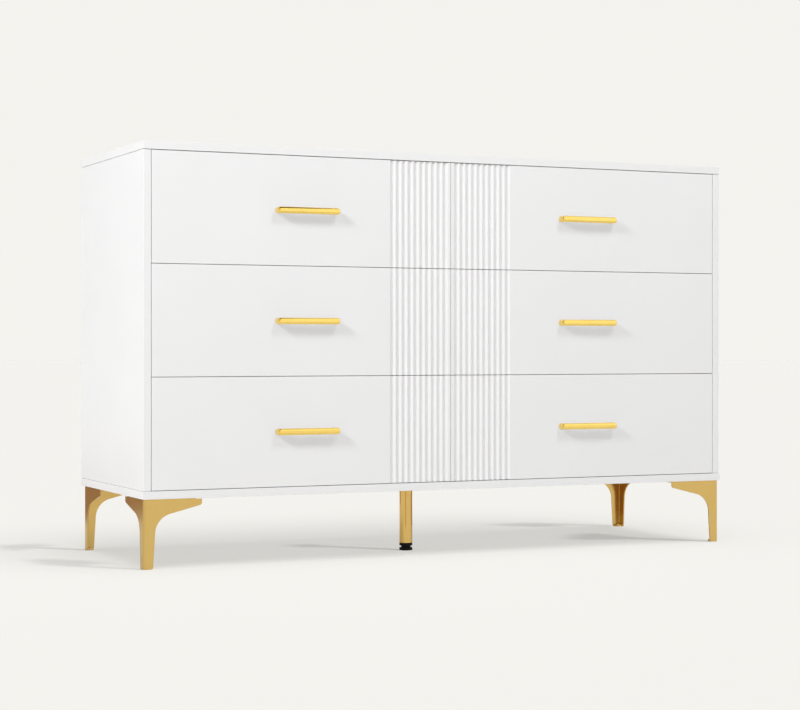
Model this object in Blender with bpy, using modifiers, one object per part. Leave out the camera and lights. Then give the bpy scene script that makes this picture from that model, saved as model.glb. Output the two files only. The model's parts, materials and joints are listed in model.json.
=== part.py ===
"""A free-standing dresser with six drawers in three rows and two columns.

White boards, fluted bands beside the middle of the drawer fronts, gold bar handles,
four folded sheet legs and a round middle leg with a levelling foot.

Metres, +Z up. The origin is on the floor, under the middle of the whole object.
The drawers open towards -Y.
"""

from math import atan, cos, pi, radians, sin, tan

import bmesh
import bpy
from mathutils import Vector

# Whole object
WIDTH = 1.200
CARCASS_DEPTH = 0.400
HEIGHT = 0.750
LEG_HEIGHT = 0.123
GAP = 0.0003  # between pieces that touch

# Carcass boards
BOARD = 0.014
OVERHANG = 0.0015  # of the top and bottom panels, past the sides and the fronts
BACK_THICKNESS = 0.003
BACK_INSET = 0.012  # from the rear edges to the back panel
GROOVE_DEPTH = 0.006
GROOVE_PLAY = 0.001  # between the back panel's edge and the end of its groove

# Drawer fronts and their fluted bands
FRONT_THICKNESS = 0.016
FRONT_GAP = 0.001
ROWS = ("bottom", "middle", "top")
COLUMNS = {"left": -1, "right": 1}
FLUTE_PITCH = 0.012
FLUTE_GROOVES = 10
FLUTE_DEPTH = 0.0035
FLUTE_STEPS = 8  # flats across one groove

# Drawer boxes
BOX_BOARD = 0.012
BOX_DEPTH = 0.350
BOX_HEIGHT = 0.150
BOX_LIFT = 0.014  # of the box's lower edge above the front's
BASE_THICKNESS = 0.003
BASE_LIFT = 0.010
BASE_GROOVE = 0.005

# Runners
RUNNER_SPACE = 0.0127  # between a drawer box and the carcass
RUNNER_DEPTH = 0.0095
RUNNER_HEIGHT = 0.035
RUNNER_SHEET = 0.0012
RUNNER_LENGTH = 0.350
RUNNER_LIP = 0.006
RUNNER_LIFT = 0.075  # of its middle above the drawer box's lower edge

# Handles
HANDLE_LENGTH = 0.1215
HANDLE_HEIGHT = 0.012
HANDLE_REACH = 0.018  # from the drawer front to the handle's face
HANDLE_CORNER = 0.005
HANDLE_ROUNDING = 0.003
HANDLE_GRIP = (0.103, 0.009)  # width and depth of the finger gap behind it

# Corner legs
LEG_SHEET = 0.0025
LEG_WING = 0.108
LEG_FOLD = 0.004  # outer radius of the fold
LEG_SIDE_INSET = 0.002  # from the bottom panel's edges
LEG_FRONT_INSET = 0.004
LEG_BACK_INSET = 0.020
LEG_TIP_HEIGHT = 0.0130
LEG_TIP_CORNER = 0.005
LEG_SLOPE = radians(14)
LEG_ARCH_RADIUS = 0.036
LEG_POST_TOP = 0.0250  # width of the post where the arch would meet it
LEG_POST_FOOT = 0.018
LEG_FOOT_CORNER = 0.004
LEG_PLATE = 0.0035
LEG_PLATE_RISE = 0.0012  # of the mounting plate above the wings
LEG_FOOT_PLATE = 0.004

# Middle leg and its levelling foot
TUBE_PLACE = (-0.038, -0.072)  # a little left of the middle and in front of it
TUBE_RADIUS = 0.0125
TUBE_BORE = 0.011
TUBE_FLANGE_RADIUS = 0.030
TUBE_FLANGE = 0.0025
TUBE_NUT = 0.012
STEM_RADIUS = 0.004
STEM_PLAY = 0.0004
STEM_TOP = 0.045
FOOT_DISC = 0.005
FOOT_NECK = 0.004
FOOT_COLLAR = 0.005
FOOT_NECK_RADIUS = 0.009
TURNED_STEPS = 32

# Places worked out from the sizes above
DEPTH = CARCASS_DEPTH - OVERHANG + HANDLE_REACH
CARCASS_BACK = DEPTH / 2
CARCASS_FRONT = CARCASS_BACK - CARCASS_DEPTH
FRONT_FACE = CARCASS_FRONT + OVERHANG
FRONT_REAR = FRONT_FACE + FRONT_THICKNESS
BACK_FACE = CARCASS_BACK - BACK_INSET - BACK_THICKNESS
SIDE_OUTER = WIDTH / 2 - OVERHANG
SIDE_INNER = SIDE_OUTER - BOARD
BOTTOM_TOP = LEG_HEIGHT + BOARD
TOP_BOTTOM = HEIGHT - BOARD
FRONT_HEIGHT = (TOP_BOTTOM - BOTTOM_TOP - (len(ROWS) + 1) * FRONT_GAP) / len(ROWS)
FRONT_LEFT = FRONT_GAP / 2
FRONT_RIGHT = SIDE_INNER - FRONT_GAP
BOX_INNER_EDGE = BOARD / 2 + RUNNER_SPACE
BOX_OUTER_EDGE = SIDE_INNER - RUNNER_SPACE
BOX_FRONT = FRONT_REAR + GAP
BOX_REAR = BOX_FRONT + BOX_DEPTH
HANDLE_MIDDLE = (FRONT_LEFT + FRONT_RIGHT) / 2

# Turns that stand a flat outline up: its first and second axes become these
PLAN = (0, 0, 0)  # X and Y, drawn along Z
FRONT_VIEW = (pi / 2, 0, 0)  # X and Z, drawn along Y
SIDE_VIEW = (pi / 2, 0, pi / 2)  # Y and Z, drawn along X


def clear_scene():
    """Removes whatever the file opened with."""
    for obj in list(bpy.data.objects):
        bpy.data.objects.remove(obj, do_unlink=True)


def new_collection(name):
    """A collection in the scene's own."""
    collection = bpy.data.collections.new(name)
    bpy.context.scene.collection.children.link(collection)
    return collection


def new_material(name, colour, roughness, metallic=0.0):
    """A plain Principled finish."""
    material = bpy.data.materials.new(name)
    material.use_nodes = True
    shader = material.node_tree.nodes["Principled BSDF"]
    shader.inputs["Base Color"].default_value = (*colour, 1)
    shader.inputs["Roughness"].default_value = roughness
    shader.inputs["Metallic"].default_value = metallic
    material.diffuse_color = (*colour, 1)
    return material


clear_scene()
PARTS = new_collection("dresser")
CUTTERS = new_collection("cutters")
WHITE = new_material("white_board", (0.88, 0.88, 0.88), 0.45)
INSIDE = new_material("drawer_board", (0.80, 0.80, 0.79), 0.55)
HARDBOARD = new_material("white_hardboard", (0.78, 0.78, 0.76), 0.60)
GOLD = new_material("gold_handle", (0.90, 0.62, 0.20), 0.30, 1.0)
LEG_GOLD = new_material("gold_leg", (0.72, 0.50, 0.19), 0.32, 1.0)
STEEL = new_material("zinc_steel", (0.62, 0.63, 0.65), 0.35, 1.0)
BLACK = new_material("black_plastic", (0.02, 0.02, 0.02), 0.50)


def add_object(name, mesh, collection=PARTS, material=None, at=(0, 0, 0), turn=PLAN):
    """An object in one of the two collections."""
    obj = bpy.data.objects.new(name, mesh)
    collection.objects.link(obj)
    obj.location = at
    obj.rotation_euler = turn
    if material and not mesh.materials:
        mesh.materials.append(material)
    if collection is CUTTERS:
        obj.hide_render = True
        obj.display_type = "WIRE"
    return obj


def box_mesh(name, size):
    """A block centred on its own origin."""
    mesh = bpy.data.meshes.new(name)
    shape = bmesh.new()
    bmesh.ops.create_cube(shape, size=1)
    bmesh.ops.scale(shape, vec=size, verts=shape.verts)
    shape.to_mesh(mesh)
    shape.free()
    return mesh


def add_block(name, low, high, material=None, collection=PARTS):
    """A block between two corners."""
    low, high = Vector(low), Vector(high)
    mesh = box_mesh(name, high - low)
    return add_object(name, mesh, collection, material, (low + high) / 2)


def mesh_of_curve(name, curve):
    """The mesh of a curve, with its caps welded to its sides."""
    source = bpy.data.objects.new(name, curve)
    bpy.context.scene.collection.objects.link(source)
    depsgraph = bpy.context.evaluated_depsgraph_get()
    mesh = bpy.data.meshes.new_from_object(source.evaluated_get(depsgraph))
    bpy.data.objects.remove(source)
    bpy.data.curves.remove(curve)
    mesh.name = name
    shape = bmesh.new()
    shape.from_mesh(mesh)
    bmesh.ops.remove_doubles(shape, verts=shape.verts, dist=1e-6)
    bmesh.ops.recalc_face_normals(shape, faces=shape.faces)
    shape.to_mesh(mesh)
    shape.free()
    return mesh


def prism_mesh(name, outline, length, rounding=0.0):
    """A flat outline drawn out along its third axis, its ends rounded on request."""
    curve = bpy.data.curves.new(name, "CURVE")
    curve.dimensions = "2D"
    curve.fill_mode = "BOTH"
    curve.extrude = length / 2 - rounding
    curve.bevel_depth = rounding
    curve.bevel_resolution = 2
    spline = curve.splines.new("POLY")
    spline.points.add(len(outline) - 1)
    for point, (across, up) in zip(spline.points, outline):
        point.co = (across, up, 0, 1)
    spline.use_cyclic_u = True
    return mesh_of_curve(name, curve)


def add_prism(name, outline, span, view, material=None, collection=PARTS):
    """A prism of an outline, drawn along the view's third axis over a span."""
    middle = (span[0] + span[1]) / 2
    places = {PLAN: (0, 0, middle), FRONT_VIEW: (0, middle, 0), SIDE_VIEW: (middle, 0, 0)}
    mesh = prism_mesh(name, outline, span[1] - span[0])
    return add_object(name, mesh, collection, material, places[view], view)


def boolean(obj, other, operation):
    """Cuts or joins obj with other, and keeps the result as obj's mesh."""
    modifier = obj.modifiers.new(operation.lower(), "BOOLEAN")
    modifier.operation = operation
    modifier.solver = "EXACT"
    modifier.object = other
    bpy.context.view_layer.update()
    depsgraph = bpy.context.evaluated_depsgraph_get()
    mesh = bpy.data.meshes.new_from_object(obj.evaluated_get(depsgraph))
    obj.modifiers.remove(modifier)
    obj.data = mesh


def join(obj, others):
    """Adds other shapes to obj's body and removes them."""
    for other in others:
        boolean(obj, other, "UNION")
        bpy.data.objects.remove(other)


def arc(centre, radius, start, end, steps):
    """Points along a circle, from one angle to another."""
    turns = [start + (end - start) * i / steps for i in range(steps + 1)]
    return [(centre[0] + radius * cos(a), centre[1] + radius * sin(a)) for a in turns]


def rounded_rectangle(width, height, radius, steps=4):
    """The outline of a rectangle with round corners, centred."""
    outline = []
    for quarter, (right, up) in enumerate(((1, 1), (-1, 1), (-1, -1), (1, -1))):
        centre = (right * (width / 2 - radius), up * (height / 2 - radius))
        start = quarter * pi / 2
        outline += arc(centre, radius, start, start + pi / 2, steps)
    return outline


def smooth(mesh):
    """Shades round faces smooth and keeps sharp edges sharp."""
    mesh.shade_smooth()
    mesh.set_sharp_from_angle(angle=radians(35))


def turned_object(name, profile, material, at):
    """A solid turned about Z from a profile that runs down its outer side."""
    mesh = bpy.data.meshes.new(name)
    shape = bmesh.new()
    points = [shape.verts.new((radius, 0, height)) for radius, height in profile]
    for upper, lower in zip(points, points[1:]):
        shape.edges.new((upper, lower))
    shape.to_mesh(mesh)
    shape.free()
    obj = add_object(name, mesh, PARTS, material, at)
    screw = obj.modifiers.new("turn", "SCREW")
    screw.axis = "Z"
    screw.angle = 2 * pi
    screw.steps = TURNED_STEPS
    screw.render_steps = TURNED_STEPS
    screw.use_merge_vertices = True
    screw.merge_threshold = 0.00001
    return obj


def carcass():
    """The boards: top, bottom, two sides, the divider and the back in its grooves."""
    floors = {"top_panel": (TOP_BOTTOM, HEIGHT), "bottom_panel": (LEG_HEIGHT, BOTTOM_TOP)}
    grooved = []
    for name, (lower, upper) in floors.items():
        low = (-WIDTH / 2, CARCASS_FRONT, lower)
        high = (WIDTH / 2, CARCASS_BACK, upper)
        grooved.append(add_block(name, low, high, WHITE))
    between = (BOTTOM_TOP + GAP, TOP_BOTTOM - GAP)
    for column, way in COLUMNS.items():
        inner, outer = sorted((way * SIDE_INNER, way * SIDE_OUTER))
        low = (inner, FRONT_FACE, between[0])
        high = (outer, CARCASS_BACK, between[1])
        grooved.append(add_block(f"side_panel_{column}", low, high, WHITE))

    # One frame of grooves runs round the inside of the four boards and holds the back
    cut = GROOVE_DEPTH
    groove = add_block(
        "back_groove",
        (-SIDE_INNER - cut, BACK_FACE - GAP, BOTTOM_TOP - cut),
        (SIDE_INNER + cut, BACK_FACE + BACK_THICKNESS + GAP, TOP_BOTTOM + cut),
        collection=CUTTERS,
    )
    for board in grooved:
        boolean(board, groove, "DIFFERENCE")
    bpy.data.objects.remove(groove)
    reach = GROOVE_DEPTH - GROOVE_PLAY
    add_block(
        "back_panel",
        (-SIDE_INNER - reach, BACK_FACE, BOTTOM_TOP - reach),
        (SIDE_INNER + reach, BACK_FACE + BACK_THICKNESS, TOP_BOTTOM + reach),
        HARDBOARD,
    )
    add_block(
        "centre_divider",
        (-BOARD / 2, FRONT_REAR + FRONT_GAP, between[0]),
        (BOARD / 2, BACK_FACE - GAP, between[1]),
        INSIDE,
    )


def fluted_outline(way):
    """A drawer front from above: flat, with a band of wavy flutes beside its inner edge."""
    outline = [(FRONT_LEFT, FRONT_REAR), (FRONT_LEFT, FRONT_FACE)]
    for step in range(FLUTE_GROOVES * FLUTE_STEPS + 1):
        across = FLUTE_PITCH * (0.5 + step / FLUTE_STEPS)
        sunk = FLUTE_DEPTH * (1 - cos(2 * pi * step / FLUTE_STEPS)) / 2
        outline.append((across, FRONT_FACE + sunk))
    outline += [(FRONT_RIGHT, FRONT_FACE), (FRONT_RIGHT, FRONT_REAR)]
    return [(way * x, y) for x, y in outline]


def handle_mesh():
    """A pull bent like a flat bridge. Its origin is on the drawer front's face."""
    outline = rounded_rectangle(
        HANDLE_LENGTH - 2 * HANDLE_ROUNDING,
        HANDLE_HEIGHT - 2 * HANDLE_ROUNDING,
        HANDLE_CORNER - HANDLE_ROUNDING,
    )
    # The rounding at the rear is drawn past the drawer front, and cut off with the finger gap
    length = HANDLE_REACH + 2 * HANDLE_ROUNDING
    mesh = prism_mesh("handle", outline, length, HANDLE_ROUNDING)
    middle = length / 2 - HANDLE_REACH
    pull = add_object("handle", mesh, CUTTERS, None, (0, middle, 0), FRONT_VIEW)
    grip_width, grip_depth = HANDLE_GRIP
    beyond = 2 * length
    cuts = [
        ((-HANDLE_LENGTH, -GAP, -HANDLE_HEIGHT), (HANDLE_LENGTH, beyond, HANDLE_HEIGHT)),
        ((-grip_width / 2, -grip_depth, -HANDLE_HEIGHT), (grip_width / 2, beyond, HANDLE_HEIGHT)),
    ]
    for low, high in cuts:
        cutter = add_block("handle_cut", low, high, collection=CUTTERS)
        boolean(pull, cutter, "DIFFERENCE")
        bpy.data.objects.remove(cutter)
    mesh = pull.data
    mesh.transform(pull.matrix_world)
    bpy.data.objects.remove(pull)
    smooth(mesh)
    mesh.materials.clear()
    mesh.materials.append(GOLD)
    return mesh


def side_outline(inner, outer, bottom):
    """A drawer box's side from the front, with the groove that holds the base."""
    slot = (bottom + BASE_LIFT - GAP, bottom + BASE_LIFT + BASE_THICKNESS + GAP)
    deep = inner + (BASE_GROOVE if outer > inner else -BASE_GROOVE)
    return [
        (outer, bottom),
        (outer, bottom + BOX_HEIGHT),
        (inner, bottom + BOX_HEIGHT),
        (inner, slot[1]),
        (deep, slot[1]),
        (deep, slot[0]),
        (inner, slot[0]),
        (inner, bottom),
    ]


def drawer(row, column, handle):
    """One drawer on its slide axis: front, handle, two sides, back and base."""
    way = COLUMNS[column]
    name = f"drawer_{row}_{column}"
    lower = BOTTOM_TOP + FRONT_GAP + ROWS.index(row) * (FRONT_HEIGHT + FRONT_GAP)
    bottom = lower + BOX_LIFT
    axis = bpy.data.objects.new(f"{name}_slide", None)
    PARTS.objects.link(axis)
    axis.location = (way * HANDLE_MIDDLE, FRONT_FACE, lower + FRONT_HEIGHT / 2)

    span = (lower, lower + FRONT_HEIGHT)
    front = add_prism(f"{name}_front", fluted_outline(way), span, PLAN, WHITE)
    inner, outer = BOX_INNER_EDGE, BOX_OUTER_EDGE
    base_reach = BASE_GROOVE - GROOVE_PLAY
    base_edges = (inner + BOX_BOARD - base_reach, outer - BOX_BOARD + base_reach)
    base_height = (bottom + BASE_LIFT, bottom + BASE_LIFT + BASE_THICKNESS)
    base_ends = sorted(way * x for x in base_edges)
    slot = add_block(
        f"{name}_slot",
        (base_ends[0] - GROOVE_PLAY, FRONT_REAR - BASE_GROOVE, base_height[0] - GAP),
        (base_ends[1] + GROOVE_PLAY, FRONT_REAR + BASE_GROOVE, base_height[1] + GAP),
        collection=CUTTERS,
    )
    boolean(front, slot, "DIFFERENCE")
    smooth(front.data)
    bpy.data.objects.remove(slot)

    pieces = [front]
    pieces.append(add_object(f"{name}_handle", handle, at=axis.location))
    depth = (BOX_FRONT, BOX_REAR)
    sides = {
        "side_inner": (inner + BOX_BOARD, inner),
        "side_outer": (outer - BOX_BOARD, outer),
    }
    for side, (near, far) in sides.items():
        outline = side_outline(way * near, way * far, bottom)
        pieces.append(add_prism(f"{name}_{side}", outline, depth, FRONT_VIEW, INSIDE))
    back_edges = sorted((way * (inner + BOX_BOARD + GAP), way * (outer - BOX_BOARD - GAP)))
    pieces.append(
        add_block(
            f"{name}_back",
            (back_edges[0], BOX_REAR - BOX_BOARD, base_height[1] + GAP),
            (back_edges[1], BOX_REAR, bottom + BOX_HEIGHT),
            INSIDE,
        )
    )
    pieces.append(
        add_block(
            f"{name}_base",
            (base_ends[0], FRONT_REAR - base_reach, base_height[0]),
            (base_ends[1], BOX_REAR, base_height[1]),
            HARDBOARD,
        )
    )
    bpy.context.view_layer.update()
    for piece in pieces:
        piece.parent = axis
        piece.matrix_parent_inverse = axis.matrix_world.inverted()


def runners(row, column):
    """The carcass's two runner channels for one drawer, on the side and on the divider."""
    way = COLUMNS[column]
    lower = BOTTOM_TOP + FRONT_GAP + ROWS.index(row) * (FRONT_HEIGHT + FRONT_GAP)
    middle = lower + BOX_LIFT + RUNNER_LIFT
    half = RUNNER_HEIGHT / 2
    walls = {"inner": (BOARD / 2, 1), "outer": (SIDE_INNER, -1)}
    for place, (wall, outward) in walls.items():
        base = wall + outward * GAP
        web = base + outward * RUNNER_SHEET
        lip = base + outward * RUNNER_DEPTH
        lip_back = lip - outward * RUNNER_SHEET
        outline = [
            (base, -half),
            (lip, -half),
            (lip, -half + RUNNER_LIP),
            (lip_back, -half + RUNNER_LIP),
            (lip_back, -half + RUNNER_SHEET),
            (web, -half + RUNNER_SHEET),
            (web, half - RUNNER_SHEET),
            (lip_back, half - RUNNER_SHEET),
            (lip_back, half - RUNNER_LIP),
            (lip, half - RUNNER_LIP),
            (lip, half),
            (base, half),
        ]
        placed = [(way * x, middle + z) for x, z in outline]
        span = (BOX_FRONT + FRONT_GAP, BOX_FRONT + RUNNER_LENGTH)
        add_prism(f"runner_{row}_{column}_{place}", placed, span, FRONT_VIEW, STEEL)


def under_wing_outline():
    """What is cut away under a wing, from its side: the arch, the slope and round corners.

    The first axis runs from the leg's fold to the wing's tip, the second one up.
    """
    tip_centre = (LEG_WING - LEG_TIP_CORNER, LEG_HEIGHT - LEG_TIP_HEIGHT + LEG_TIP_CORNER)
    tip = arc(tip_centre, LEG_TIP_CORNER, 0, -pi / 2 + LEG_SLOPE, 5)
    # The slope's line meets the post's tapering edge at a corner, which the arch rounds off
    slope = Vector((-cos(LEG_SLOPE), -sin(LEG_SLOPE)))
    start = Vector(tip[-1])
    taper = (LEG_POST_TOP - LEG_POST_FOOT) / LEG_HEIGHT
    run = (start.x - LEG_POST_FOOT - taper * start.y) / (cos(LEG_SLOPE) - taper * sin(LEG_SLOPE))
    corner = start + run * slope
    turn = pi / 2 - LEG_SLOPE - atan(taper)
    arch_start = corner - LEG_ARCH_RADIUS * tan(turn / 2) * slope
    centre = arch_start + LEG_ARCH_RADIUS * Vector((sin(LEG_SLOPE), -cos(LEG_SLOPE)))
    first = pi / 2 + LEG_SLOPE
    arch = arc(centre, LEG_ARCH_RADIUS, first, first + turn, 10)
    foot_centre = (LEG_POST_FOOT - LEG_FOOT_CORNER, LEG_FOOT_CORNER)
    foot = arc(foot_centre, LEG_FOOT_CORNER, 0, -pi / 2, 4)
    spare = 0.010
    beyond = LEG_WING + spare
    outside = [(foot[-1][0], -spare), (beyond, -spare), (beyond, tip[0][1])]
    return tip + arch + foot + outside


def leg_mesh():
    """A folded sheet leg: its fold's outer edge is its origin, its wings lie along +X and +Y."""
    outer = arc((LEG_FOLD, LEG_FOLD), LEG_FOLD, 1.5 * pi, pi, 5)
    bend = LEG_FOLD - LEG_SHEET
    inner = arc((LEG_FOLD, LEG_FOLD), bend, pi, 1.5 * pi, 5)
    plan = [(LEG_WING, 0), *outer, (0, LEG_WING), (LEG_SHEET, LEG_WING)]
    plan += [*inner, (LEG_WING, LEG_SHEET)]
    height = LEG_HEIGHT - GAP
    wing_top = height - LEG_PLATE_RISE
    leg = add_prism("leg_sheet", plan, (0, wing_top), PLAN, collection=CUTTERS)
    under = under_wing_outline()
    cut_depth = LEG_SHEET * 2
    along_x = add_prism("under_x", under, (-cut_depth, cut_depth), FRONT_VIEW, collection=CUTTERS)
    boolean(leg, along_x, "DIFFERENCE")
    bpy.data.objects.remove(along_x)
    along_y = add_prism("under_y", under, (-cut_depth, cut_depth), SIDE_VIEW, collection=CUTTERS)
    boolean(leg, along_y, "DIFFERENCE")
    bpy.data.objects.remove(along_y)

    # The mounting plate under the carcass, and the plate that closes the foot
    edge = LEG_SHEET / 2
    far = LEG_WING - 2 * LEG_TIP_CORNER
    short = far * 0.35
    plate = [(edge, edge), (far, edge), (far, short), (short, far), (edge, far)]
    top = add_prism("leg_plate", plate, (height - LEG_PLATE, height), PLAN, collection=CUTTERS)
    foot_side = LEG_POST_FOOT - LEG_FOOT_CORNER
    pad = [(edge, edge), (foot_side, edge), (foot_side, foot_side), (edge, foot_side)]
    foot = add_prism("leg_foot", pad, (0, LEG_FOOT_PLATE), PLAN, collection=CUTTERS)
    join(leg, [top, foot])
    mesh = leg.data
    mesh.transform(leg.matrix_world)
    bpy.data.objects.remove(leg)
    smooth(mesh)
    mesh.materials.clear()
    mesh.materials.append(LEG_GOLD)
    return mesh


def corner_legs():
    """Four legs from one mesh, turned so that their wings run inwards from each corner."""
    mesh = leg_mesh()
    right = WIDTH / 2 - LEG_SIDE_INSET
    front = CARCASS_FRONT + LEG_FRONT_INSET
    back = CARCASS_BACK - LEG_BACK_INSET
    corners = {
        "leg_front_left": (-right, front, 0),
        "leg_front_right": (right, front, pi / 2),
        "leg_back_right": (right, back, pi),
        "leg_back_left": (-right, back, -pi / 2),
    }
    for name, (x, y, turn) in corners.items():
        add_object(name, mesh, at=(x, y, 0), turn=(0, 0, turn))


def middle_leg():
    """A tube with a flange above and a nut in its lower end, and the foot screwed into it."""
    place = (*TUBE_PLACE, 0)
    top = LEG_HEIGHT - GAP
    collar_top = FOOT_DISC + FOOT_NECK + FOOT_COLLAR
    end = collar_top + GAP
    tube = [
        (0, top),
        (TUBE_FLANGE_RADIUS, top),
        (TUBE_FLANGE_RADIUS, top - TUBE_FLANGE),
        (TUBE_RADIUS, top - TUBE_FLANGE),
        (TUBE_RADIUS, end),
        (STEM_RADIUS + STEM_PLAY, end),
        (STEM_RADIUS + STEM_PLAY, end + TUBE_NUT),
        (TUBE_BORE, end + TUBE_NUT),
        (TUBE_BORE, top - 2 * TUBE_FLANGE),
        (0, top - 2 * TUBE_FLANGE),
    ]
    turned_object("centre_leg", tube, LEG_GOLD, place)
    foot = [
        (0, STEM_TOP),
        (STEM_RADIUS, STEM_TOP),
        (STEM_RADIUS, collar_top),
        (TUBE_RADIUS, collar_top),
        (TUBE_RADIUS, collar_top - FOOT_COLLAR),
        (FOOT_NECK_RADIUS, collar_top - FOOT_COLLAR),
        (FOOT_NECK_RADIUS, FOOT_DISC),
        (TUBE_RADIUS, FOOT_DISC),
        (TUBE_RADIUS, 0),
        (0, 0),
    ]
    turned_object("centre_leg_foot", foot, BLACK, place)


def main():
    carcass()
    corner_legs()
    middle_leg()
    handle = handle_mesh()
    for column in COLUMNS:
        for row in ROWS:
            drawer(row, column, handle)
            runners(row, column)


main()
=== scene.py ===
"""The looks of a white dresser with six drawers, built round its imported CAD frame.

Metres, +Z up, the drawers open towards -Y. Positions come from the frame's boxes.
"""

import json
from math import cos, pi, radians, sin

import bmesh
import bpy
from mathutils import Matrix, Vector

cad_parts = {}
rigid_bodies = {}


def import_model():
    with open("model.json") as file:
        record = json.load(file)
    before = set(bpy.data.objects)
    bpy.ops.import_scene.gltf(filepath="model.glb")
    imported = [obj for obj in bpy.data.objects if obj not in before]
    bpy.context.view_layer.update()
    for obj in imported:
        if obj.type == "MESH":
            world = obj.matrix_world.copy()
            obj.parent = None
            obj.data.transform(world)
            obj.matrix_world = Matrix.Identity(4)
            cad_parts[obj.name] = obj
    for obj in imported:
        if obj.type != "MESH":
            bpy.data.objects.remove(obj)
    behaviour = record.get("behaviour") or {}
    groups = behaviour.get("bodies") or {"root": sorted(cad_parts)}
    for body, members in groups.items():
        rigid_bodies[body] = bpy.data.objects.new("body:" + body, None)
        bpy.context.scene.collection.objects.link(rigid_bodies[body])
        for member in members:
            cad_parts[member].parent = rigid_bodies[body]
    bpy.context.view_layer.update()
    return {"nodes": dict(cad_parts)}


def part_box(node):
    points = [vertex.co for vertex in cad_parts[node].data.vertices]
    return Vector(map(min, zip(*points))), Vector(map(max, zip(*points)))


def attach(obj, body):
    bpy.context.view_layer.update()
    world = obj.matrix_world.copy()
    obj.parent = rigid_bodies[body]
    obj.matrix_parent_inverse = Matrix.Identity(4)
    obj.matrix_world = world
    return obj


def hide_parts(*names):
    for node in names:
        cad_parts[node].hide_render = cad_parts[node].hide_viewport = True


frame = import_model()

ROWS = ("bottom", "middle", "top")
COLUMNS = {"left": -1, "right": 1}
DRAWERS = [(f"drawer_{row}_{column}", way) for column, way in COLUMNS.items() for row in ROWS]
LEGS = {
    "leg_front_left": (-1, -1),
    "leg_front_right": (1, -1),
    "leg_back_left": (-1, 1),
    "leg_back_right": (1, 1),
}

# Fluted band of a drawer front
FLUTE_PITCH = 0.012
FLUTE_GROOVES = 10
FLUTE_DEPTH = 0.0035
FLUTE_STEPS = 20  # flats across one groove
BASE_SLOT_DEPTH = 0.005  # of the slot that holds the drawer's base
BASE_SLOT_PLAY = 0.0003
BASE_SLOT_SIDE_PLAY = 0.001

# Pulls
PULL_CORNER = 0.0055  # of the outline, seen from the front
PULL_ROUNDING = 0.0042  # of the edges towards the hand
PULL_CORNER_STEPS = 10
GRIP_WIDTH = 0.103  # of the finger gap
GRIP_DEPTH = 0.009
GRIP_CORNER = 0.004
GRIP_CORNER_STEPS = 6
PULL_SCREW_SPACING = 0.112

# Radius and height of the screws' heads and other small round pieces
PAN_HEAD = (0.0042, 0.0022)
SMALL_HEAD = (0.0034, 0.0016)
FLAT_HEAD = (0.0032, 0.0012)
SUNK_HEAD = (0.0040, 0.0006)
WASHER = (0.0060, 0.0010)
CAM = (0.0075, 0.0006)
RIVET = (0.0026, 0.0012)

# Where screws and cams sit, as shares of a board's or a runner's height or depth
BACK_PANEL_SCREWS = (0.08, 0.36, 0.64, 0.92)
UNDERSIDE_SCREWS = {
    "side_panel_left": (0.36, 0.50, 0.66),
    "centre_divider": (0.36, 0.64, 0.66),
    "side_panel_right": (0.36, 0.50, 0.66),
}
CHANNEL_SCREWS = (0.10, 0.50, 0.90)
MEMBER_SCREWS = (0.12, 0.50, 0.88)
BOX_CAMS = (0.20, 0.84)
CAM_INSET = 0.024  # from the front end of a drawer's side
REAR_SCREW_INSET = 0.006  # from its rear end

# Legs: the screws of the mounting plate and the foot's rivet, from the leg's corner
LEG_PLATE = 0.0035
LEG_PLATE_SCREWS = ((0.022, 0.022), (0.075, 0.020), (0.020, 0.075))
LEG_RIVET_INSET = 0.0085
LEG_FOOT_PLATE = 0.004
FLANGE = 0.0025  # of the middle leg
FLANGE_SCREWS = 4
FLANGE_SCREW_REACH = 0.0215

# Runners
RUNNER_SHEET = 0.0012
MEMBER_CLEARANCE = 0.0003  # from the drawer's side to the member
MEMBER_REACH = 0.0085  # from the drawer's side to the member's edge
MEMBER_HALF_HEIGHT = 0.0095

# Rounding of the edges
BOARD_EDGE = 0.0008
FRONT_EDGE = 0.0007
USUAL_EDGE = 0.0006
FOOT_EDGE = 0.0005
THIN_EDGE = 0.0003
MEMBER_EDGE = 0.0002
LEG_EDGE = 0.0010

# Camera
LENS = 87.252
CAMERA_YAW = radians(-24.858)
CAMERA_PLACE = (-1.61442, -3.44785, 0.3883)
CAMERA_SHIFT = -0.00907

# Room: what diffuse rays meet, and what reflections meet
BACKDROP = (0.905, 0.896, 0.860)
ROOM_LEVEL = 0.395
ROOM_SLOPE = (-0.28, 0, 0.34)
GLOSS_LEVEL = 0.71
GLOSS_SLOPE = (0.28, -0.42, 0.0)

# Floor: its own colour and its glow
FLOOR_ALBEDO = 0.236
FLOOR_GLOW = 0.365
FLOOR_GLOSS = 0.75  # how bright its glow is to reflections

# Suns that light only the floor: strength, direction and width in degrees.
# The low one is stopped by the legs alone, so it draws only their streaks.
SUN_HIGH = (3.3, (0.12, -0.28, 1.00), 50)
SUN_LOW = (3.8, (0.66, -0.70, 0.56), 8)

# Soft lamps that light only the object: power, size, place and target
LAMPS = {
    "lamp_left": (51, 0.85, (-3.0, -1.45, 2.15), (-0.2, -0.19, 0.43)),
    "lamp_right": (21, 0.95, (0.62, -2.0, 2.85), (-0.2, -0.19, 0.43)),
}

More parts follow.
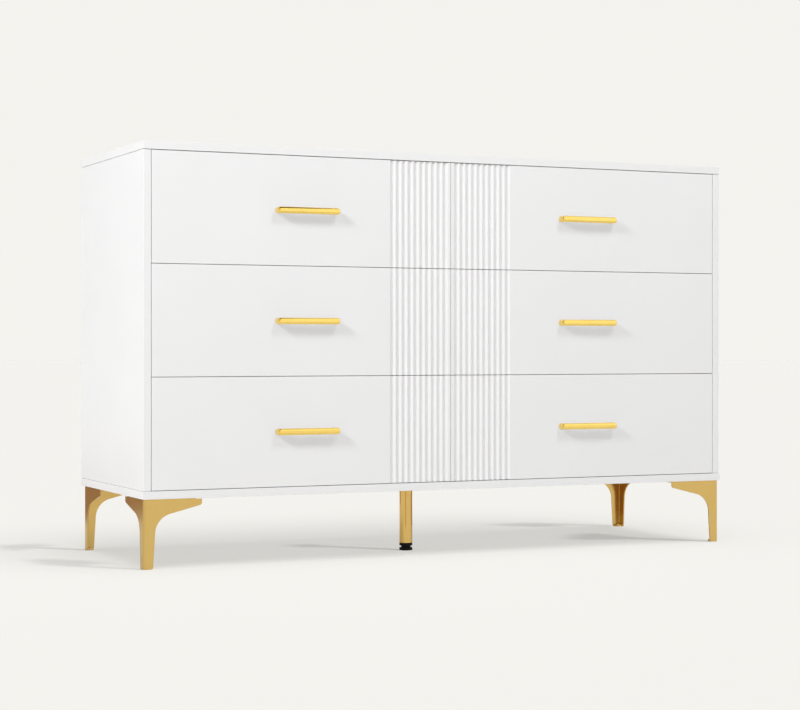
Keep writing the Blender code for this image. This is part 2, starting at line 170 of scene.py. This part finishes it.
# Dim cards that glow and only reflections meet, painting reflections onto the gold: dark ones
# paint shade on the pulls' tops and on the legs' wings and inner faces, warm ones paint light on
# their fronts. Each holds middle, width, height, facing direction and glow
PAINTED_REFLECTION_CARDS = {
    "card_behind_camera": ((-1.85, -3.95, 1.2), 2.2, 2.4, (0.42, 0.91, 0), (0.85, 0.60, 0.35)),
    "card_overhead": ((-0.41, -0.30, 0.95), 0.58, 1.2, (0, 0, -1), (0.1, 0.07, 0.04)),
    "card_left": ((-1.05, 0.80, 0.07), 0.90, 0.14, (0, -1, 0), (0.36, 0.22, 0.14)),
    "card_under": ((0.49, 0.02, 0.06), 0.20, 0.12, (0.50, 0.86, 0), (0.31, 0.18, 0.08)),
    "card_in_front": ((-0.25, -0.53, 0.06), 0.12, 0.12, (0.42, 0.91, 0), (0.62, 0.46, 0.26)),
}


# Materials


def new_material(name, colour, roughness, metallic=0.0):
    """A Principled finish; returns the material, its nodes' tree and its shader."""
    material = bpy.data.materials.new(name)
    material.use_nodes = True
    tree = material.node_tree
    shader = tree.nodes["Principled BSDF"]
    shader.inputs["Base Color"].default_value = (*colour, 1)
    shader.inputs["Roughness"].default_value = roughness
    shader.inputs["Metallic"].default_value = metallic
    return material, tree, shader


def noise(tree, scale, detail=3.0, stretch=(1, 1, 1)):
    """Noise in object space; stretch above 1 along an axis packs it tighter there."""
    place = tree.nodes.new("ShaderNodeTexCoord")
    mapping = tree.nodes.new("ShaderNodeMapping")
    mapping.inputs["Scale"].default_value = stretch
    texture = tree.nodes.new("ShaderNodeTexNoise")
    texture.inputs["Scale"].default_value = scale
    texture.inputs["Detail"].default_value = detail
    tree.links.new(place.outputs["Object"], mapping.inputs["Vector"])
    tree.links.new(mapping.outputs["Vector"], texture.inputs["Vector"])
    return texture.outputs["Fac"]


def spread(tree, value, low, high):
    """The middle of a noise value, stretched to a range."""
    node = tree.nodes.new("ShaderNodeMapRange")
    node.inputs["From Min"].default_value = 0.3
    node.inputs["From Max"].default_value = 0.7
    node.inputs["To Min"].default_value = low
    node.inputs["To Max"].default_value = high
    tree.links.new(value, node.inputs["Value"])
    return node.outputs["Result"]


def blend_colours(tree, value, first, second):
    """Two colours mixed by a value."""
    node = tree.nodes.new("ShaderNodeMix")
    node.data_type = "RGBA"
    node.inputs["A"].default_value = (*first, 1)
    node.inputs["B"].default_value = (*second, 1)
    tree.links.new(value, node.inputs["Factor"])
    return node.outputs["Result"]


def bump(tree, shader, height, strength, distance):
    """A bump from a height, on top of any the shader already has."""
    node = tree.nodes.new("ShaderNodeBump")
    node.inputs["Strength"].default_value = strength
    node.inputs["Distance"].default_value = distance
    tree.links.new(height, node.inputs["Height"])
    before = shader.inputs["Normal"].links
    if before:
        tree.links.new(before[0].from_socket, node.inputs["Normal"])
    tree.links.new(node.outputs["Normal"], shader.inputs["Normal"])


def board_material(name, colour, roughness, grain=(1, 1, 1)):
    """Coated board: faint clouding, a fine pebbled skin and uneven gloss."""
    material, tree, shader = new_material(name, colour, roughness)
    darker = tuple(0.985 * c for c in colour)
    clouds = spread(tree, noise(tree, 7, 2), 0, 1)
    tree.links.new(blend_colours(tree, clouds, darker, colour), shader.inputs["Base Color"])
    gloss = spread(tree, noise(tree, 22, 4, grain), roughness - 0.05, roughness + 0.05)
    tree.links.new(gloss, shader.inputs["Roughness"])
    bump(tree, shader, noise(tree, 900, 2, grain), 0.08, 0.0002)
    bump(tree, shader, noise(tree, 60, 2), 0.04, 0.0005)
    shader.inputs["Specular IOR Level"].default_value = 0.35
    return material


def metal_material(name, colour, roughness, brushed=(1, 1, 1), streaks=0.03, grain=0.02):
    """Plated metal: fine brushing, faint tarnish and finger marks in the gloss."""
    material, tree, shader = new_material(name, colour, roughness, 1.0)
    deeper = tuple(c * f for c, f in zip(colour, (0.975, 0.955, 0.90)))
    tarnish = spread(tree, noise(tree, 35, 3), 0, 1)
    tree.links.new(blend_colours(tree, tarnish, deeper, colour), shader.inputs["Base Color"])
    marks = spread(tree, noise(tree, 160, 3, brushed), roughness - streaks, roughness + streaks)
    tree.links.new(marks, shader.inputs["Roughness"])
    bump(tree, shader, noise(tree, 700, 2, brushed), grain, 0.0001)
    return material


def plastic_material():
    """Moulded black plastic with a fine spark-eroded grain."""
    material, tree, shader = new_material("black_plastic", (0.004, 0.004, 0.0045), 0.45)
    shader.inputs["Specular IOR Level"].default_value = 0.12
    tree.links.new(spread(tree, noise(tree, 90, 3), 0.38, 0.55), shader.inputs["Roughness"])
    bump(tree, shader, noise(tree, 1500, 2), 0.15, 0.0002)
    return material


WHITE = board_material("white_board", (0.86, 0.86, 0.872), 0.42)
INSIDE = board_material("drawer_board", (0.80, 0.80, 0.79), 0.52, (1, 0.1, 1))
HARDBOARD = board_material("white_hardboard", (0.78, 0.78, 0.76), 0.58)
HANDLE_GOLD = metal_material("gold_handle", (1.0, 0.72, 0.195), 0.24, (0.1, 1, 1))
LEG_GOLD = metal_material("gold_leg", (0.74, 0.51, 0.172), 0.22, (1, 1, 0.1))
TUBE_GOLD = metal_material("gold_tube", (0.80, 0.54, 0.18), 0.10, (1, 1, 0.1), 0.02)
STEEL = metal_material("zinc_steel", (0.66, 0.67, 0.69), 0.30, (1, 0.1, 1))
BLACK = plastic_material()


# Shapes


def add_piece(name, shape, material, body, replaced=None):
    """A finished piece of the object from a bmesh, riding on a body."""
    bmesh.ops.recalc_face_normals(shape, faces=shape.faces)
    mesh = bpy.data.meshes.new(name)
    shape.to_mesh(mesh)
    shape.free()
    mesh.materials.append(material)
    mesh.shade_smooth()
    mesh.set_sharp_from_angle(angle=radians(35))
    piece = bpy.data.objects.new(name, mesh)
    bpy.context.scene.collection.objects.link(piece)
    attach(piece, body)
    if replaced:
        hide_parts(replaced)
    return piece


def arc(centre, radius, start, end, steps):
    """Points along a circle, from one angle to another."""
    turns = [start + (end - start) * i / steps for i in range(steps + 1)]
    return [(centre[0] + radius * cos(a), centre[1] + radius * sin(a)) for a in turns]


def rounded_rectangle(width, height, radius, steps):
    """The outline of a rectangle with round corners, centred."""
    outline = []
    for quarter, (right, up) in enumerate(((1, 1), (-1, 1), (-1, -1), (1, -1))):
        centre = (right * (width / 2 - radius), up * (height / 2 - radius))
        start = quarter * pi / 2
        outline += arc(centre, radius, start, start + pi / 2, steps)
    return outline


def loft(shape, rings):
    """Skins closed rings of points in order and caps both ends."""
    rows = [[shape.verts.new(point) for point in ring] for ring in rings]
    for lower, upper in zip(rows, rows[1:]):
        for i, corner in enumerate(lower):
            following = (i + 1) % len(lower)
            shape.faces.new((corner, lower[following], upper[following], upper[i]))
    shape.faces.new(rows[0][::-1])
    shape.faces.new(rows[-1])


def turned(shape, profile, centre, axis, segments=24):
    """Skins a profile of radius and distance along an axis from a centre."""
    turn = Vector(axis).to_track_quat("Z", "Y").to_matrix()
    rings = []
    for radius, along in profile:
        circle = arc((0, 0), radius, 0, 2 * pi, segments)[:-1]
        rings.append([Vector(centre) + turn @ Vector((x, y, along)) for x, y in circle])
    loft(shape, rings)


def disc(shape, centre, axis, size, shoulder, top, segments=24):
    """A flat disc: its rim rises to a share of its height, then slopes in to its top."""
    radius, height = size
    profile = [(radius, 0), (radius, height * shoulder), (radius * top, height)]
    turned(shape, profile, centre, axis, segments)


def screw_head(shape, centre, axis, size, washer=None):
    """A domed head with a cross on it, on a washer where one is given."""
    radius, height = size
    lift = 0
    if washer:
        lift = washer[1]
        disc(shape, centre, axis, washer, 0.7, 0.93)
    dome = [(radius, lift)]
    dome += [(radius * cos(a), lift + height * sin(a)) for a in (0.35, 0.75, 1.1, 1.35)]
    turned(shape, dome, centre, axis)
    cross(shape, centre, axis, radius * 0.62, lift + height)


def cross(shape, centre, axis, reach, height):
    """A cross of two thin bars at right angles, for the driver's recess."""
    turn = Vector(axis).to_track_quat("Z", "Y").to_matrix()
    wide = reach * 0.22
    corners = [(-reach, -wide), (reach, -wide), (reach, wide), (-reach, wide)]
    for quarter in range(2):
        spin = Matrix.Rotation(quarter * pi / 2 + pi / 4, 3, "Z")
        rings = []
        for level in (height * 0.80, height * 1.02):
            ring = [turn @ (spin @ Vector((x, y, level))) for x, y in corners]
            rings.append([Vector(centre) + point for point in ring])
        loft(shape, rings)


# Finishing the CAD nodes


def finish_node(name, material, edge=USUAL_EDGE):
    """A CAD node that stays: its material, small round edges and clean normals."""
    node = frame["nodes"][name]
    node.data.materials.clear()
    node.data.materials.append(material)
    round_edges(node, edge)
    return node


def round_edges(obj, width, segments=2):
    """Welds the mesh, rounds its sharp edges and shades it smoothly."""
    weld = obj.modifiers.new("weld", "WELD")
    weld.merge_threshold = 0.00001
    bevel = obj.modifiers.new("edges", "BEVEL")
    bevel.width = width
    bevel.segments = segments
    bevel.limit_method = "ANGLE"
    bevel.angle_limit = radians(30)
    bevel.use_clamp_overlap = True
    normals = obj.modifiers.new("normals", "WEIGHTED_NORMAL")
    normals.keep_sharp = True


def middle_of(low, high):
    """The point halfway between two corners."""
    return (low + high) / 2


# The carcass


def boards():
    """The carcass's own boards, with the screws of the back panel."""
    for name in ("top_panel", "bottom_panel", "side_panel_left", "side_panel_right"):
        finish_node(name, WHITE, BOARD_EDGE)
    finish_node("centre_divider", INSIDE)
    finish_node("back_panel", HARDBOARD, THIN_EDGE)
    low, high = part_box("back_panel")
    shape = bmesh.new()
    for share in BACK_PANEL_SCREWS:
        height = low.z + share * (high.z - low.z)
        screw_head(shape, (0, high.y, height), (0, 1, 0), SMALL_HEAD)
    add_piece("back_panel_screws", shape, STEEL, "carcass")


def underside_screws():
    """Screws through the bottom panel into the sides and the divider."""
    low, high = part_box("bottom_panel")
    shape = bmesh.new()
    for board, shares in UNDERSIDE_SCREWS.items():
        x = middle_of(*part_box(board)).x
        for share in shares:
            place = (x, low.y + share * (high.y - low.y), low.z)
            disc(shape, place, (0, 0, -1), SUNK_HEAD, 0.5, 0.85)
    add_piece("underside_screws", shape, STEEL, "carcass")


def corner_legs():
    """The folded legs, with the screws of their plates and the rivets of their feet."""
    screws = bmesh.new()
    rivets = bmesh.new()
    radius, height = RIVET
    rivet = [(radius, 0), (radius * 0.9, height * 0.6), (radius * 0.5, height)]
    for name, (right, back) in LEGS.items():
        finish_node(name, LEG_GOLD, LEG_EDGE)
        low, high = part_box(name)
        x = low.x if right < 0 else high.x
        y = high.y if back > 0 else low.y
        for along, across in LEG_PLATE_SCREWS:
            place = (x - right * along, y - back * across, high.z - LEG_PLATE)
            screw_head(screws, place, (0, 0, -1), PAN_HEAD)
        place = (x - right * LEG_RIVET_INSET, y - back * LEG_RIVET_INSET, LEG_FOOT_PLATE)
        turned(rivets, rivet, place, (0, 0, 1))
    add_piece("leg_plate_screws", screws, STEEL, "carcass")
    add_piece("leg_foot_rivets", rivets, STEEL, "carcass")


def middle_leg():
    """The round middle leg with its foot and the screws of its flange."""
    finish_node("centre_leg", TUBE_GOLD, THIN_EDGE)
    finish_node("centre_leg_foot", BLACK, FOOT_EDGE)
    low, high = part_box("centre_leg")
    middle = middle_of(low, high)
    shape = bmesh.new()
    for number in range(FLANGE_SCREWS):
        turn = (number + 0.5) * 2 * pi / FLANGE_SCREWS
        x = middle.x + FLANGE_SCREW_REACH * cos(turn)
        y = middle.y + FLANGE_SCREW_REACH * sin(turn)
        screw_head(shape, (x, y, high.z - FLANGE), (0, 0, -1), SMALL_HEAD)
    add_piece("centre_leg_screws", shape, STEEL, "carcass")


def carcass_runners():
    """The channels on the side panels and the divider, with their screws."""
    shape = bmesh.new()
    for column, way in COLUMNS.items():
        for row in ROWS:
            for place, outward in (("inner", way), ("outer", -way)):
                name = f"runner_{row}_{column}_{place}"
                finish_node(name, STEEL, THIN_EDGE)
                low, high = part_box(name)
                web = (low.x if outward > 0 else high.x) + outward * RUNNER_SHEET
                for share in CHANNEL_SCREWS:
                    point = (web, low.y + share * (high.y - low.y), (low.z + high.z) / 2)
                    screw_head(shape, point, (outward, 0, 0), SMALL_HEAD)
    add_piece("runner_screws", shape, STEEL, "carcass")


# The drawers


def fluted_front(name, way):
    """A drawer front with fine flutes, round edges and the slot for the base."""
    low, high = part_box(f"{name}_front")
    face = low.y
    inner, outer = sorted((low.x, high.x), key=abs)
    outline = [(outer, high.y), (outer, face)]
    for step in range(FLUTE_GROOVES * FLUTE_STEPS, -1, -1):
        across = FLUTE_PITCH * (0.5 + step / FLUTE_STEPS)
        sunk = FLUTE_DEPTH * (1 - cos(2 * pi * step / FLUTE_STEPS)) / 2
        outline.append((way * across, face + sunk))
    outline += [(inner, face), (inner, high.y)]
    shape = bmesh.new()
    loft(shape, [[(x, y, z) for x, y in outline] for z in (low.z, high.z)])
    front = add_piece(
        f"{name}_fluted_front", shape, WHITE, name, f"{name}_front"
    )
    cut_away(front, base_slot(name, high.y))
    round_edges(front, FRONT_EDGE)


def base_slot(name, rear):
    """The block that cuts the slot for a drawer's base into the rear of its front."""
    low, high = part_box(f"{name}_base")
    spans = [
        (low.x - BASE_SLOT_SIDE_PLAY, high.x + BASE_SLOT_SIDE_PLAY),
        (rear - BASE_SLOT_DEPTH, rear + BASE_SLOT_DEPTH),
        (low.z - BASE_SLOT_PLAY, high.z + BASE_SLOT_PLAY),
    ]
    block = bmesh.new()
    bmesh.ops.create_cube(block, size=1)
    for corner in block.verts:
        corner.co = [a if c < 0 else b for c, (a, b) in zip(corner.co, spans)]
    return block


def cut_away(obj, shape):
    """Takes a closed shape out of obj's mesh for good."""
    mesh = bpy.data.meshes.new("cutter")
    shape.to_mesh(mesh)
    shape.free()
    cutter = bpy.data.objects.new("cutter", mesh)
    bpy.context.scene.collection.objects.link(cutter)
    modifier = obj.modifiers.new("cut", "BOOLEAN")
    modifier.operation = "DIFFERENCE"
    modifier.solver = "EXACT"
    modifier.object = cutter
    bpy.context.view_layer.update()
    depsgraph = bpy.context.evaluated_depsgraph_get()
    cut = bpy.data.meshes.new_from_object(obj.evaluated_get(depsgraph))
    obj.modifiers.remove(modifier)
    obj.data = cut
    bpy.data.objects.remove(cutter)


def pull_rings(low, high):
    """The pull's outlines, from its flat rear to its rounded face."""
    middle = middle_of(low, high)
    width = high.x - low.x
    height = high.z - low.z
    stations = [(high.y, 0)]
    for step in range(9):
        turn = step * pi / 16
        depth = low.y + PULL_ROUNDING * (1 - sin(turn))
        stations.append((depth, PULL_ROUNDING * (1 - cos(turn))))
    rings = []
    for depth, inset in stations:
        corner = max(PULL_CORNER - inset, PULL_CORNER - PULL_ROUNDING)
        size = (width - 2 * inset, height - 2 * inset)
        outline = rounded_rectangle(*size, corner, PULL_CORNER_STEPS)
        rings.append([(middle.x + x, depth, middle.z + z) for x, z in outline])
    return rings


def finger_gap(low, high):
    """The block that cuts the gap behind a pull, with round inner corners."""
    middle = middle_of(low, high)
    height = high.z - low.z
    half = GRIP_WIDTH / 2
    floor = high.y - GRIP_DEPTH
    rear = high.y + GRIP_DEPTH
    outline = [(middle.x + half, rear)]
    corner = (middle.x + half - GRIP_CORNER, floor + GRIP_CORNER)
    outline += arc(corner, GRIP_CORNER, 0, -pi / 2, GRIP_CORNER_STEPS)
    corner = (middle.x - half + GRIP_CORNER, floor + GRIP_CORNER)
    outline += arc(corner, GRIP_CORNER, -pi / 2, -pi, GRIP_CORNER_STEPS)
    outline.append((middle.x - half, rear))
    block = bmesh.new()
    levels = (low.z - height, high.z + height)
    loft(block, [[(x, y, z) for x, y in outline] for z in levels])
    bmesh.ops.recalc_face_normals(block, faces=block.faces)
    return block


def handle(name):
    """A soft-edged bridge pull, with its screws inside the drawer."""
    low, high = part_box(f"{name}_handle")
    shape = bmesh.new()
    loft(shape, pull_rings(low, high))
    pull = add_piece(
        f"{name}_pull", shape, HANDLE_GOLD, name, f"{name}_handle"
    )
    pull.visible_diffuse = False  # so that no gold light falls on the front
    cut_away(pull, finger_gap(low, high))
    round_edges(pull, USUAL_EDGE)

    middle = middle_of(low, high)
    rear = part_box(f"{name}_front")[1].y
    screws = bmesh.new()
    for side in (-1, 1):
        place = (middle.x + side * PULL_SCREW_SPACING / 2, rear, middle.z)
        screw_head(screws, place, (0, 1, 0), PAN_HEAD, WASHER)
    add_piece(f"{name}_handle_screws", screws, STEEL, name)


def drawer_box(name, way):
    """The box's boards, with its cam discs, screws and the moving runner members."""
    for board in ("side_inner", "side_outer", "back"):
        finish_node(f"{name}_{board}", INSIDE)
    finish_node(f"{name}_base", HARDBOARD, THIN_EDGE)
    row, column = name.split("_")[1:3]
    cams = bmesh.new()
    screws = bmesh.new()
    members = bmesh.new()
    for place, outward in (("inner", -way), ("outer", way)):
        axis = (outward, 0, 0)
        low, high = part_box(f"{name}_side_{place}")
        wall = low.x if outward < 0 else high.x
        for share in BOX_CAMS:
            height = low.z + share * (high.z - low.z)
            centre = (wall, low.y + CAM_INSET, height)
            disc(cams, centre, axis, CAM, 0.6, 0.92, 32)
            cross(cams, centre, axis, CAM[0] * 0.5, CAM[1])
            screw_head(screws, (wall, high.y - REAR_SCREW_INSET, height), axis, SMALL_HEAD)
        rail_low, rail_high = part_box(f"runner_{row}_{column}_{place}")
        middle = (rail_low.z + rail_high.z) / 2
        web = wall + outward * MEMBER_CLEARANCE
        runner_member(members, web, outward, (rail_low.y, rail_high.y), middle)
        for share in MEMBER_SCREWS:
            y = rail_low.y + share * (rail_high.y - rail_low.y)
            centre = (web + outward * RUNNER_SHEET, y, middle)
            screw_head(screws, centre, axis, FLAT_HEAD)
    add_piece(f"{name}_cam_discs", cams, STEEL, name)
    add_piece(f"{name}_box_screws", screws, STEEL, name)
    rails = add_piece(f"{name}_runner_members", members, STEEL, name)
    round_edges(rails, MEMBER_EDGE)


def runner_member(shape, web, outward, span, middle):
    """The member that a drawer's side carries inside the carcass's channel."""
    reach = MEMBER_REACH - MEMBER_CLEARANCE
    half = MEMBER_HALF_HEIGHT
    outline = [
        (0, -half),
        (reach, -half),
        (reach, -half + RUNNER_SHEET),
        (RUNNER_SHEET, -half + RUNNER_SHEET),
        (RUNNER_SHEET, half - RUNNER_SHEET),
        (reach, half - RUNNER_SHEET),
        (reach, half),
        (0, half),
    ]
    loft(shape, [[(web + outward * x, y, middle + z) for x, z in outline] for y in span])


# Surroundings


def camera():
    """A level camera, to the left of the dresser and looking at its front."""
    data = bpy.data.cameras.new("camera")
    data.lens = LENS
    data.sensor_width = 36
    data.shift_y = CAMERA_SHIFT
    data.clip_end = 60
    obj = bpy.data.objects.new("camera", data)
    bpy.context.scene.collection.objects.link(obj)
    obj.location = CAMERA_PLACE
    obj.rotation_euler = (pi / 2, 0, CAMERA_YAW)
    bpy.context.scene.camera = obj


def add_light(name, kind, energy, place, target, receivers, blockers=None):
    """A light from a place to a target; it lights some objects only, and some may block it."""
    data = bpy.data.lights.new(name, kind)
    data.energy = energy
    obj = bpy.data.objects.new(name, data)
    bpy.context.scene.collection.objects.link(obj)
    obj.location = place
    obj.rotation_euler = (Vector(target) - Vector(place)).to_track_quat("-Z", "Y").to_euler()
    obj.light_linking.receiver_collection = receivers
    obj.light_linking.blocker_collection = blockers
    return data


def gradient(tree, slope, level):
    """A room whose brightness changes evenly with direction."""
    place = tree.nodes.new("ShaderNodeTexCoord")
    shades = tree.nodes.new("ShaderNodeVectorMath")
    shades.operation = "DOT_PRODUCT"
    shades.inputs[1].default_value = slope
    total = tree.nodes.new("ShaderNodeMath")
    total.operation = "ADD"
    total.inputs[1].default_value = level
    background = tree.nodes.new("ShaderNodeBackground")
    background.inputs["Color"].default_value = (1, 1, 1, 1)
    tree.links.new(place.outputs["Generated"], shades.inputs[0])
    tree.links.new(shades.outputs["Value"], total.inputs[0])
    tree.links.new(total.outputs["Value"], background.inputs["Strength"])
    return background.outputs["Background"]


def studio_world():
    """An even room: the camera sees the backdrop, surfaces a soft room, metal a brighter one."""
    world = bpy.data.worlds.new("studio")
    world.use_nodes = True
    world.cycles.sampling_method = "NONE"
    tree = world.node_tree
    tree.nodes.remove(tree.nodes["Background"])
    backdrop = tree.nodes.new("ShaderNodeBackground")
    backdrop.inputs["Color"].default_value = (*BACKDROP, 1)
    path = tree.nodes.new("ShaderNodeLightPath")
    room = gradient(tree, ROOM_SLOPE, ROOM_LEVEL)
    gloss = gradient(tree, GLOSS_SLOPE, GLOSS_LEVEL)
    for ray, seen in (("Is Glossy Ray", gloss), ("Is Camera Ray", backdrop.outputs[0])):
        mix = tree.nodes.new("ShaderNodeMixShader")
        tree.links.new(path.outputs[ray], mix.inputs["Fac"])
        tree.links.new(room, mix.inputs[1])
        tree.links.new(seen, mix.inputs[2])
        room = mix.outputs["Shader"]
    tree.links.new(room, tree.nodes["World Output"].inputs["Surface"])
    bpy.context.scene.world = world


def studio_floor():
    """A wide pale floor that glows a little, so that it meets the backdrop unseen."""
    mesh = bpy.data.meshes.new("floor")
    shape = bmesh.new()
    bmesh.ops.create_grid(shape, x_segments=1, y_segments=1, size=60)
    shape.to_mesh(mesh)
    shape.free()
    floor = bpy.data.objects.new("floor", mesh)
    bpy.context.scene.collection.objects.link(floor)
    colour = tuple(FLOOR_ALBEDO * c / BACKDROP[1] for c in BACKDROP)
    material, tree, shader = new_material("floor", colour, 1.0)
    shader.inputs["Specular IOR Level"].default_value = 0
    shader.inputs["Emission Color"].default_value = (*(c / BACKDROP[1] for c in BACKDROP), 1)
    path = tree.nodes.new("ShaderNodeLightPath")
    glow = tree.nodes.new("ShaderNodeMix")
    glow.inputs["A"].default_value = FLOOR_GLOW
    glow.inputs["B"].default_value = FLOOR_GLOW * FLOOR_GLOSS
    tree.links.new(path.outputs["Is Glossy Ray"], glow.inputs["Factor"])
    tree.links.new(glow.outputs["Result"], shader.inputs["Emission Strength"])
    mesh.materials.append(material)
    return floor


def painted_reflection_card(name, middle, width, height, facing, glow):
    """A plain card with a glow of its own, which only reflections meet, so that it paints a
    reflection of light or shade onto the gold.
    """
    shape = bmesh.new()
    bmesh.ops.create_grid(shape, x_segments=1, y_segments=1, size=0.5)
    mesh = bpy.data.meshes.new(name)
    shape.to_mesh(mesh)
    shape.free()
    card = bpy.data.objects.new(name, mesh)
    bpy.context.scene.collection.objects.link(card)
    card.location = middle
    card.rotation_euler = Vector(facing).to_track_quat("Z", "Y").to_euler()
    card.scale = (width, height, 1)
    material, _, shader = new_material(name, (0.01, 0.01, 0.01), 1.0)
    shader.inputs["Specular IOR Level"].default_value = 0
    shader.inputs["Emission Color"].default_value = (*glow, 1)
    shader.inputs["Emission Strength"].default_value = 1
    mesh.materials.append(material)
    for ray in ("camera", "diffuse", "shadow", "transmission", "volume_scatter"):
        setattr(card, f"visible_{ray}", False)


def surroundings():
    """The room, its floor, lights of their own for the floor and for the object, and glowing
    cards that paint light and shade into the gold's reflections.
    """
    scene = bpy.context.scene
    scene.view_settings.view_transform = "Standard"
    scene.view_settings.look = "None"
    on_object = bpy.data.collections.new("lit_object")
    for obj in scene.objects:
        if obj.type == "MESH":
            on_object.objects.link(obj)
    studio_world()
    on_floor = bpy.data.collections.new("lit_floor")
    on_floor.objects.link(studio_floor())
    for name, (power, size, place, target) in LAMPS.items():
        lamp = add_light(name, "AREA", power, place, target, on_object)
        lamp.shape = "DISK"
        lamp.size = size
        bpy.data.objects[name].visible_glossy = False
    legs_only = bpy.data.collections.new("leg_shadows")
    for name in (*LEGS, "centre_leg", "centre_leg_foot"):
        legs_only.objects.link(frame["nodes"][name])
    suns = {"sun_high": (SUN_HIGH, None), "sun_low": (SUN_LOW, legs_only)}
    for name, ((strength, place, width), blockers) in suns.items():
        sun = add_light(name, "SUN", strength, place, (0, 0, 0), on_floor, blockers)
        sun.angle = radians(width)
    # Glowing cards that paint light and shade into the reflections of the gold legs and pulls
    for name, card in PAINTED_REFLECTION_CARDS.items():
        painted_reflection_card(name, *card)


camera()
boards()
underside_screws()
corner_legs()
middle_leg()
carcass_runners()
for drawer, side in DRAWERS:
    fluted_front(drawer, side)
    handle(drawer)
    drawer_box(drawer, side)
surroundings()
